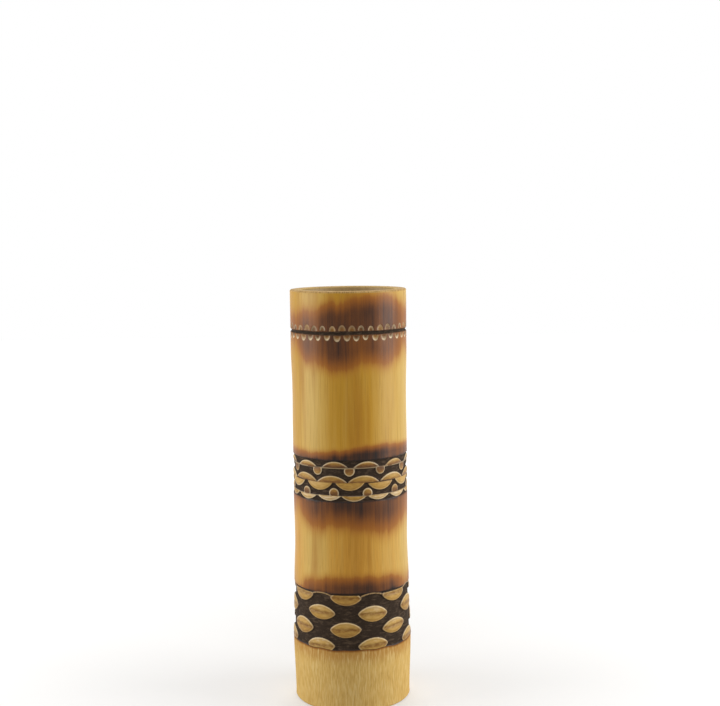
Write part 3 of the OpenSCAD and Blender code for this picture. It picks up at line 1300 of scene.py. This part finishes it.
        # Painted light: the skin is drawn straw-pale at the turns that the side lamps light, mixed
        # with its real streaks.
        paler = add(tree, "Math", {0: noise["streak"], 1: at.field["painted_side_light"]}, operation="ADD")
        paler = add(tree, "MapRange", {0: paler, 1: 0.45, 2: 1.45, 4: 1.0})
        base = at.shaded(lay_over(tree, linear(self.honey), (upper, linear(self.gold)),
                                  (paler, linear(self.straw))), self.skin_shades)
        uneven = add(tree, "Math", {0: noise["streak"], 1: noise["mottle"]}, operation="ADD")
        uneven = add(tree, "Math", {0: noise["fibre"], 1: 0.5, 2: uneven},
                     operation="MULTIPLY_ADD")
        uneven = add(tree, "MapRange", {0: uneven, 1: 0.9, 2: 1.6, 3: -0.5, 4: 0.5})
        spared = add(tree, "Math", {0: 1.15, 1: scorch}, operation="SUBTRACT")
        bite = add(tree, "Math", {0: uneven, 1: spared}, operation="MULTIPLY")
        burnt = add(tree, "Math", {0: bite, 1: scorch, 2: scorch}, operation="MULTIPLY_ADD")
        browned = set_stops(add(tree, "ValToRGB", {"Fac": burnt}), self.torched)
        return lay_over(tree, base, (add(tree, "MapRange", {0: burnt, 1: 0.0, 2: 0.4}), browned))

    def _motif(self, at: Patterns) -> Socket:
        """Colours a raised motif, with flecks, a darker crease, a band of painted shade inside its
        edge, and a pale edge that is part cut wood and part painted highlight.

        Args:
            at: The tree and its patterns.

        Returns:
            The colour's socket.
        """
        tree, fleck, rim = at.tree, at.noise["fleck"], at.field["rim"]
        uneven = add(tree, "MapRange", {0: fleck, 1: 0.3, 2: 0.7, 3: -0.1, 4: 0.1})
        # The tone carries the motifs' painted light and shade as well as their wood's own tone.
        wood_tone_and_shade = add(tree, "Math", {0: at.field["tone"], 1: uneven}, operation="ADD")
        core = set_stops(add(tree, "ValToRGB", {"Fac": wood_tone_and_shade}), self.wood)
        broken = add(tree, "MapRange", {0: fleck, 1: 0.35, 2: 0.65, 3: 0.85, 4: 0.45})
        # Darker brown along a leaf's crease, broken by the flecks.
        crease_darkening = add(tree, "MapRange", {0: at.field["crease"], 1: 0.1, 2: 2.6, 3: 1.0, 4: 0.0},
                     interpolation_type="SMOOTHSTEP")
        crease_darkening = add(tree, "Math", {0: crease_darkening, 1: broken}, operation="MULTIPLY")
        # Painted shade: a dark brown band just inside the motif's pale edge.
        inner = add(tree, "MapRange", {0: rim, 1: 0.6, 2: 1.0})
        outer = add(tree, "MapRange", {0: rim, 1: 1.1, 2: 2.2, 3: 0.28, 4: 0.0})
        line = add(tree, "Math", {0: inner, 1: outer}, operation="MULTIPLY")
        # Pale edge, partly fresh cut wood and partly a painted highlight on the rounded edge.
        edge = add(tree, "MapRange", {0: rim, 1: 0.25, 2: self.fringe_mm + 0.25, 3: 1.0, 4: 0.0})
        edge = add(tree, "Math", {0: edge, 1: at.field["pale"]}, operation="MULTIPLY")
        brown = linear(self.crease_and_shade_brown)
        return lay_over(tree, core, (crease_darkening, brown), (line, brown), (edge, linear(self.cut_edge_and_highlight)))

    def _foot(self, at: Patterns) -> Socket:
        """Colours the scraped foot, pale and dark fibres on khaki, browner under the band.

        Args:
            at: The tree and its patterns.

        Returns:
            The colour's socket.
        """
        warm, rusty = (
            add(at.tree, "MapRange", {0: at.field["scraped"], 1: near, 2: far, 3: most, 4: 0.0},
                interpolation_type="SMOOTHSTEP")
            for near, far, most in ((1.0, 14.0, 0.8), (0.2, 2.0, 0.9)))
        base = lay_over(at.tree, linear(self.khaki), (warm, linear(self.umber)))
        return lay_over(at.tree, at.shaded(base, self.foot_shades), (rusty, linear(self.rust)))


@dataclass(frozen=True)
class EndGrain(Surface):
    """Sawn end of the wall, pale, with the dark dots of cut fibre bundles, which crowd to the skin.

    Attributes:
        dot_mm: Spacing of the dots.
        dots: Size of a dot at the bore and at the skin, as a share of that.
        wall_mm: Radii of the bore and the skin.
        saw_mm: Size of the unevenness that the saw left.
    """

    name: str = "Bamboo end grain"
    pale: str = "#cfae70"
    tan: str = "#b98f50"
    dot: str = "#80592b"
    dot_mm: float = 1.1
    dots: tuple[float, float] = (0.28, 0.6)
    wall_mm: tuple[float, float] = (34.5, 41.5)
    saw_mm: float = 2.5

    def shader(self, tree: Tree, place: Socket) -> Socket:
        """Browns the wood and thickens its dots with the radius.

        Args:
            tree: The node tree.
            place: Object coordinates.

        Returns:
            The shader's socket.
        """
        mm = add(tree, "Mapping", {"Vector": place, "Scale": (1000, 1000, 200)})
        across = add(tree, "Mapping", {"Vector": place, "Scale": (1000, 1000, 0)})
        radius = add(tree, "VectorMath", {0: across}, out="Value", operation="LENGTH")
        outward = add(tree, "MapRange", {0: radius, 1: self.wall_mm[0], 2: self.wall_mm[1]})
        away = add(tree, "TexVoronoi", {"Vector": mm, "Scale": 1 / self.dot_mm})
        size = add(tree, "MapRange", {0: outward, 3: self.dots[0], 4: self.dots[1]})
        dark = add(tree, "MapRange", {0: away, 1: 0.12, 2: size, 3: 0.75, 4: 0.0})
        saw = add(tree, "TexNoise", {"Vector": mm, "Scale": 1 / self.saw_mm, "Detail": 4.0})
        browner = add(tree, "Math", {0: outward, 1: saw}, operation="MULTIPLY")
        colour = lay_over(tree, linear(self.pale), (browner, linear(self.tan)),
                          (dark, linear(self.dot)))
        bump = add(tree, "Bump", {"Height": saw, "Strength": 0.4, "Distance": 0.2 * MM})
        return add(tree, "BsdfPrincipled", {
            "Base Color": colour, "Roughness": 0.7, "Normal": bump, "Specular IOR Level": 0.2})


@dataclass(frozen=True)
class BoreWall(Surface):
    """Inner wall of the culm, smooth straw yellow with faint long streaks."""

    name: str = "Bamboo inner wall"
    straw: str = "#cdb078"
    tan: str = "#a98350"
    streak_mm: float = 2.0

    def shader(self, tree: Tree, place: Socket) -> Socket:
        """Streaks the wall along the culm.

        Args:
            tree: The node tree.
            place: Object coordinates.

        Returns:
            The shader's socket.
        """
        mm = add(tree, "Mapping", {"Vector": place, "Scale": (1000, 1000, 40)})
        streak = add(tree, "TexNoise", {"Vector": mm, "Scale": 1 / self.streak_mm, "Detail": 3.0})
        colour = lay_over(tree, linear(self.straw), (streak, linear(self.tan)))
        bump = add(tree, "Bump", {"Height": streak, "Strength": 0.3, "Distance": 0.2 * MM})
        return add(tree, "BsdfPrincipled", {"Base Color": colour, "Roughness": 0.5, "Normal": bump})


@dataclass(frozen=True)
class BambooBoard(Surface):
    """Sanded board pressed from bamboo strips, pale, with a joint every few millimetres."""

    name: str = "Laminated bamboo board"
    pale: str = "#d8bd86"
    tan: str = "#b9945a"
    strip_mm: float = 5.0
    grain_mm: float = 0.8

    def shader(self, tree: Tree, place: Socket) -> Socket:
        """Gives each strip its own tint and its grain.

        Args:
            tree: The node tree.
            place: Object coordinates.

        Returns:
            The shader's socket.
        """
        strips = add(tree, "Mapping", {"Vector": place, "Scale": (1000, 0, 0)})
        tint = add(tree, "TexVoronoi", {"Vector": strips, "Scale": 1 / self.strip_mm}, out="Color")
        along = add(tree, "Mapping", {"Vector": place, "Scale": (1000, 40, 1000)})
        grain = add(tree, "TexNoise", {"Vector": along, "Scale": 1 / self.grain_mm, "Detail": 3.0})
        share = add(tree, "Math", {0: tint, 1: grain}, operation="MULTIPLY")
        colour = lay_over(tree, linear(self.pale), (share, linear(self.tan)))
        return add(tree, "BsdfPrincipled", {"Base Color": colour, "Roughness": 0.55})


@dataclass(frozen=True)
class PlainFinish(Surface):
    """A finish of one colour, uneven and lightly scuffed, such as extruded plastic or dried glue.

    Attributes:
        mottle: The colour that it varies to.
        scuff: Colour of its scuffs.
        mottle_mm: Size of the unevenness across the piece.
        drawn: How many times longer it is up the piece.
        roughness: Its roughness where it isn't scuffed.
        scuffed: How much rougher its scuffs are.
    """

    colour: str
    mottle: str
    scuff: str
    mottle_mm: float
    drawn: float
    roughness: float
    scuffed: float = 0.3

    def shader(self, tree: Tree, place: Socket) -> Socket:
        """Mottles and scuffs the colour.

        Args:
            tree: The node tree.
            place: Object coordinates.

        Returns:
            The shader's socket.
        """
        mm = add(tree, "Mapping", {"Vector": place, "Scale": (1000, 1000, 1000 / self.drawn)})
        uneven = add(tree, "TexNoise", {"Vector": mm, "Scale": 1 / self.mottle_mm, "Detail": 3.0})
        share = add(tree, "MapRange", {0: uneven, 1: 0.35, 2: 0.65})
        moved = add(tree, "Mapping", {"Vector": mm, "Location": (31, 17, 5)})
        worn = add(tree, "TexNoise", {
            "Vector": moved, "Scale": 1.6 / self.mottle_mm, "Detail": 4.0})
        worn = add(tree, "MapRange", {0: worn, 1: 0.6, 2: 0.75, 4: 0.5})
        colour = lay_over(tree, linear(self.colour), (share, linear(self.mottle)),
                          (worn, linear(self.scuff)))
        rough = add(tree, "MapRange", {
            0: worn, 3: self.roughness, 4: self.roughness + self.scuffed})
        bump = add(tree, "Bump", {"Height": uneven, "Strength": 0.3, "Distance": 0.1 * MM})
        return add(tree, "BsdfPrincipled", {
            "Base Color": colour, "Roughness": rough, "Normal": bump})


@dataclass(frozen=True)
class WhitePaper(Surface):
    """Matt white paper on the floor, which shows as white but keeps the vase's shadow.

    Attributes:
        reach: Distances from the vase, in metres, between which the lamps fade.
        glow: The paper's own glow at those distances, which makes up for their fading.
    """

    name: str = "Matt white paper"
    grey: str = "#cdccca"
    reach: tuple[float, float] = (0.1, 1.2)
    glow: tuple[float, float] = (0.36, 0.86)

    def shader(self, tree: Tree, place: Socket) -> Socket:
        """Adds a glow, for the rays that show the paper, to its lit colour.

        Args:
            tree: The node tree.
            place: Object coordinates.

        Returns:
            The shader's socket.
        """
        lit = add(tree, "BsdfPrincipled", {
            "Base Color": linear(self.grey), "Roughness": 0.9, "Specular IOR Level": 0.1})
        away = add(tree, "VectorMath", {0: place}, out="Value", operation="LENGTH")
        made_up = add(tree, "MapRange", {
            0: away, 1: self.reach[0], 2: self.reach[1], 3: self.glow[0], 4: self.glow[1]})
        level = add(tree, "Math", {0: made_up, 1: seen(tree)}, operation="MULTIPLY")
        glow = add(tree, "Emission", {"Color": WHITE, "Strength": level})
        return add(tree, "AddShader", {0: lit, 1: glow})


def seen(tree: Tree) -> Socket:
    """Tells the rays that show a thing from those that carry its light.

    Args:
        tree: The node tree.

    Returns:
        The socket of 1 for camera, glossy and transmission rays, and 0 for the others.
    """
    rays = add(tree, "LightPath").node.outputs
    either = add(tree, "Math", {0: rays["Is Camera Ray"], 1: rays["Is Glossy Ray"]},
                 operation="MAXIMUM")
    return add(tree, "Math", {0: either, 1: rays["Is Transmission Ray"]}, operation="MAXIMUM")


# The pieces that keep their CAD meshes


@dataclass(frozen=True)
class ClosedFoot:
    """The disc in the foot and the bead of glue that seals it."""

    board: BambooBoard = BambooBoard()
    # Dried wood glue is a translucent cream yellow with a soft shine.
    glue: PlainFinish = PlainFinish(
        "Dried wood glue", "#e2cf9c", "#cdb47a", "#ede0b8", 2.0, 1.0, 0.35)

    def dress(self) -> None:
        """Gives both CAD nodes their finishes."""
        set_finishes({"base_disc": self.board, "glue_bead": self.glue})


@dataclass(frozen=True)
class WaterLiner:
    """The lift-out liner, a length of grey pipe with a cemented floor."""

    # Extruded rigid PVC is dull dark grey, with faint die lines and pale scuffs along it.
    pipe: PlainFinish = PlainFinish(
        "Extruded grey PVC", "#505653", "#424745", "#7c827f", 1.4, 60.0, 0.4)
    # Cast sheet of the same plastic is a little darker and has no lines.
    sheet: PlainFinish = PlainFinish(
        "Grey PVC sheet", "#474c4a", "#3a3f3d", "#727875", 3.0, 1.0, 0.4)

    def dress(self) -> None:
        """Gives both CAD nodes their finishes."""
        set_finishes({"liner_tube": self.pipe, "liner_floor": self.sheet})


def set_finishes(finishes: dict[str, Surface]) -> None:
    """Puts a finish in every slot of each CAD node.

    Args:
        finishes: The finish of each node, by the node's name.
    """
    for name, finish in finishes.items():
        piece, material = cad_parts[name], finish.material()
        if not piece.material_slots:
            piece.data.materials.append(material)
        for slot in piece.material_slots:
            slot.material = material


# The studio


@dataclass(frozen=True)
class Studio:
    """Camera, lamps, floor and a white surround.

    Attributes:
        eye: Where the camera stands.
        tilt: How far it looks down, in degrees.
        roll: How far it is rolled, in degrees.
        lens_px: Focal length in pixels of the photograph, which is width_px wide.
        lamps: Name, place and power in watts of each square lamp.
        lamp_side: Side of a lamp.
        aim: Where the lamps point.
        floor_m: Half the floor's side, in metres.
        floor_z: Height of the floor, a hair below the foot.
        dim: Strength of the surround's own light, where 1 is white.
    """

    eye: tuple[float, float, float] = (8.17, -915.9, 345.9)
    tilt: float = 5.785
    roll: float = -0.692
    lens_px: float = 1269.25
    width_px: int = 720
    sensor_mm: float = 36.0
    lamps: tuple[tuple[str, tuple[float, float, float], float], ...] = (
        ("side_left", (-980, -120, 380), 7.0), ("side_right", (980, -120, 380), 8.2),
        ("over_front", (0, -500, 1000), 1.2), ("over_back", (0, 800, 1200), 5.0),
    )
    lamp_side: float = 700.0
    aim: tuple[float, float, float] = (0, 0, 150)
    floor_m: float = 3.0
    floor_z: float = -0.1
    paper: WhitePaper = WhitePaper()
    dim: float = 0.3

    def build(self) -> None:
        """Makes the camera, the lamps, the floor and the surround."""
        self._camera()
        for name, place, power in self.lamps:
            self._lamp(name, Vector(place), power)
        self._floor()
        self._surround()

    def _camera(self) -> None:
        """Looks along +Y, tilted down and rolled, from the fitted place."""
        data = bpy.data.cameras.new("studio_camera")
        data.sensor_width = self.sensor_mm
        data.lens = self.lens_px / self.width_px * self.sensor_mm
        data.clip_start, data.clip_end = 0.01, 20.0
        camera = put("studio_camera", data)
        turned = Matrix.Rotation(math.radians(90 - self.tilt), 4, "X")
        rolled = Matrix.Rotation(math.radians(self.roll), 4, "Z")
        camera.matrix_world = Matrix.Translation(Vector(self.eye) * MM) @ turned @ rolled
        bpy.context.scene.camera = camera

    def _lamp(self, name: str, place: Vector, power: float) -> None:
        """Hangs one square soft lamp that faces the middle of the vase.

        Args:
            name: The lamp's name.
            place: Where it hangs.
            power: Its power in watts.
        """
        data = bpy.data.lights.new(name, "AREA")
        data.shape = "SQUARE"
        data.size = self.lamp_side * MM
        data.energy = power
        turned = (Vector(self.aim) - place).to_track_quat("-Z", "Y").to_matrix().to_4x4()
        put(name, data).matrix_world = Matrix.Translation(place * MM) @ turned

    def _floor(self) -> None:
        """Lays a square floor of pale paper just under the foot."""
        mesh = bpy.data.meshes.new("floor")
        corners = [(x * self.floor_m, y * self.floor_m, self.floor_z * MM)
                   for x, y in ((-1, -1), (1, -1), (1, 1), (-1, 1))]
        mesh.from_pydata(corners, [], [(0, 1, 2, 3)])
        floor = put("floor", mesh)
        mesh.materials.append(self.paper.material())
        floor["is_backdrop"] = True

    def _surround(self) -> None:
        """Lights the world softly, and shows it as white to the camera and in reflections."""
        world = bpy.data.worlds.new("surround")
        bpy.context.scene.world = world
        world.use_nodes = True
        tree = world.node_tree
        tree.nodes.clear()
        level = add(tree, "MapRange", {0: seen(tree), 3: self.dim, 4: 1.0})
        light = add(tree, "Background", {"Color": WHITE, "Strength": level})
        add(tree, "OutputWorld", {"Surface": light})


def note_bounds(sizes: dict[str, list], key: str) -> None:
    """Adds the object's box to a table of sizes as plain numbers."""
    sizes[key] = [[float(x) for x in corner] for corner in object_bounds()]


def main() -> None:
    """Builds the studio and the vase, and reports each piece."""
    logging.basicConfig(level=logging.INFO, format="%(name)s: %(message)s")
    sizes: dict[str, list] = {}
    note_bounds(sizes, "cad")
    bpy.context.scene.view_settings.view_transform = "Standard"
    Studio().build()
    LOG.info("studio: camera, lamps and floor")
    culm = Culm()
    culm.dress(culm.build())
    ClosedFoot().dress()
    LOG.info("base_disc and glue_bead: dressed")
    WaterLiner().dress()
    LOG.info("liner_tube and liner_floor: dressed")
    note_bounds(sizes, "visual")


if __name__ == "__main__":
    main()
